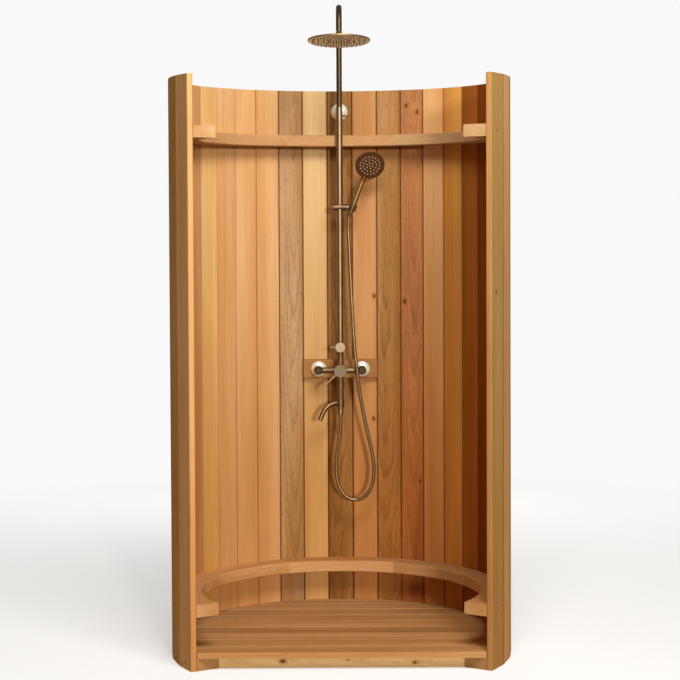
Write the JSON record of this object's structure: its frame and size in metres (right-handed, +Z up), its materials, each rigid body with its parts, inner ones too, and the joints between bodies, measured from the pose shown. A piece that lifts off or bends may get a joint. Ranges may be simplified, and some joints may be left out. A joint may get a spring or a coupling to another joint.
{
  "type": "outdoor shower",
  "caption": "Outdoor shower with a round cedar stave wall, slatted floor, exposed mixer column, overhead rain head, swivel spout and a hand shower on a sliding holder.",
  "frame": {"origin": "centre of the wall's circle, on the underside of the floor joists", "axes": "+Z up, +Y towards the closed back of the wall, -Y out of the open front, +X to the right as seen from the front"},
  "size_m": [1.0874, 0.8626, 2.0845],
  "materials": {
    "cedar_tan": "planed, oiled",
    "cedar_honey": "planed, oiled",
    "cedar_pale": "planed, oiled",
    "cedar_red": "planed, oiled",
    "cedar_brown": "planed, oiled",
    "dark_steel": "dark, matt",
    "antique_brass": "brushed, lacquered",
    "hose_brass": "wound strip, satin",
    "brushed_nickel": "polished",
    "dark_bronze_plastic": "plated look, satin",
    "silicone": "soft, matt",
    "cartridge_plastic": "matt",
    "aerator_plastic": "matt"
  },
  "bodies": {
    "root": {"stave_01": "cedar_tan", "stave_02": "cedar_red", "stave_03": "cedar_tan", "stave_04": "cedar_honey", "stave_05": "cedar_tan", "stave_06": "cedar_pale", "stave_07": "cedar_honey", "stave_08": "cedar_tan", "stave_09": "cedar_tan", "stave_10": "cedar_honey", "stave_11": "cedar_brown", "stave_12": "cedar_pale", "stave_13": "cedar_brown", "stave_14": "cedar_honey", "stave_15": "cedar_tan", "stave_16": "cedar_brown", "stave_17": "cedar_tan", "stave_18": "cedar_tan", "stave_19": "cedar_red", "stave_20": "cedar_red", "stave_21": "cedar_tan", "stave_22": "cedar_honey", "stave_23": "cedar_tan", "stave_24": "cedar_red", "stave_25": "cedar_tan", "upper_rib": "cedar_tan", "lower_rib": "cedar_tan", "base_rib": "cedar_tan", "deck_slats": "cedar_honey", "toe_board": "cedar_pale", "deck_joists": "cedar_red", "mixer_backing_board": "cedar_tan", "stave_screws": "dark_steel", "riser_pipe": "antique_brass", "wall_bracket": "antique_brass", "cover_plates": "brushed_nickel", "shower_hose": "hose_brass", "hose_lower_nut": "antique_brass", "hose_outlet": "antique_brass", "mixer_body": "antique_brass", "inlet_unions": "brushed_nickel", "mixer_cartridge": "cartridge_plastic"},
    "clamp_pin": {"arm_clamp_pin": "antique_brass"},
    "arm": {"overhead_arm": "antique_brass"},
    "rain_swivel": {"rain_ball_nut": "antique_brass"},
    "rain_head": {"rain_head_body": "antique_brass", "rain_nozzles": "silicone"},
    "slider": {"slider_body": "antique_brass"},
    "slider_knob": {"slider_knob": "antique_brass"},
    "holder": {"handset_holder": "antique_brass"},
    "handset": {"handset_body": "dark_bronze_plastic", "handset_face": "dark_bronze_plastic", "handset_nozzles": "silicone", "hose_upper_nut": "antique_brass"},
    "mixer_turn": {"cartridge_stem": "antique_brass"},
    "mixer_control": {"mixer_cap": "antique_brass", "mixer_lever": "antique_brass"},
    "diverter": {"diverter_knob": "antique_brass"},
    "spout": {"spout": "antique_brass", "spout_aerator": "aerator_plastic"}
  },
  "joints": [
    {"name": "arm_clamp_turn", "type": "hinge", "parent": "root", "child": "clamp_pin", "pos_m": [0, 0.43, 1.738], "axis": [1, 0, 0], "range_deg": [0, 180]},
    {"name": "arm_height", "type": "slide", "parent": "root", "child": "arm", "axis": [0, 0, 1], "range_m": [-0.2, 0.18]},
    {"name": "rain_head_tilt", "type": "hinge", "parent": "arm", "child": "rain_swivel", "pos_m": [0, 0.092, 1.9805], "axis": [1, 0, 0], "range_deg": [-9, 21]},
    {"name": "rain_head_turn", "type": "hinge", "parent": "rain_swivel", "child": "rain_head", "pos_m": [0, 0.092, 1.9805], "axis": [0, 0.1045, 0.9945], "continuous": true},
    {"name": "slider_slide", "type": "slide", "parent": "root", "child": "slider", "axis": [0, 0, 1], "range_m": [-0.32, 0.18], "deforming": ["shower_hose"]},
    {"name": "slider_knob_turn", "type": "hinge", "parent": "slider", "child": "slider_knob", "pos_m": [0, 0.43, 1.426], "axis": [1, 0, 0], "range_deg": [0, 180]},
    {"name": "holder_tilt", "type": "hinge", "parent": "slider", "child": "holder", "pos_m": [0, 0.43, 1.426], "axis": [1, 0, 0], "range_deg": [-10, 35], "deforming": ["shower_hose"]},
    {"name": "handset_lift", "type": "slide", "parent": "holder", "child": "handset", "axis": [0.357, -0.0872, 0.93], "range_m": [0, 0.06], "deforming": ["shower_hose"]},
    {"name": "mixer_temperature", "type": "hinge", "parent": "root", "child": "mixer_turn", "pos_m": [0, 0.43, 0.866], "axis": [0, -1, 0], "range_deg": [-2, 98]},
    {"name": "mixer_flow", "type": "hinge", "parent": "mixer_turn", "child": "mixer_control", "pos_m": [0, 0.399, 0.866], "axis": [-0.6691, 0, 0.7431], "range_deg": [0, 18]},
    {"name": "diverter_turn", "type": "hinge", "parent": "root", "child": "diverter", "pos_m": [0, 0.43, 0.946], "axis": [0, -1, 0], "range_deg": [-90, 90]},
    {"name": "spout_swivel", "type": "hinge", "parent": "root", "child": "spout", "pos_m": [0, 0.43, 0.754], "axis": [0, 0, 1], "range_deg": [-20, 115]}
  ]
}
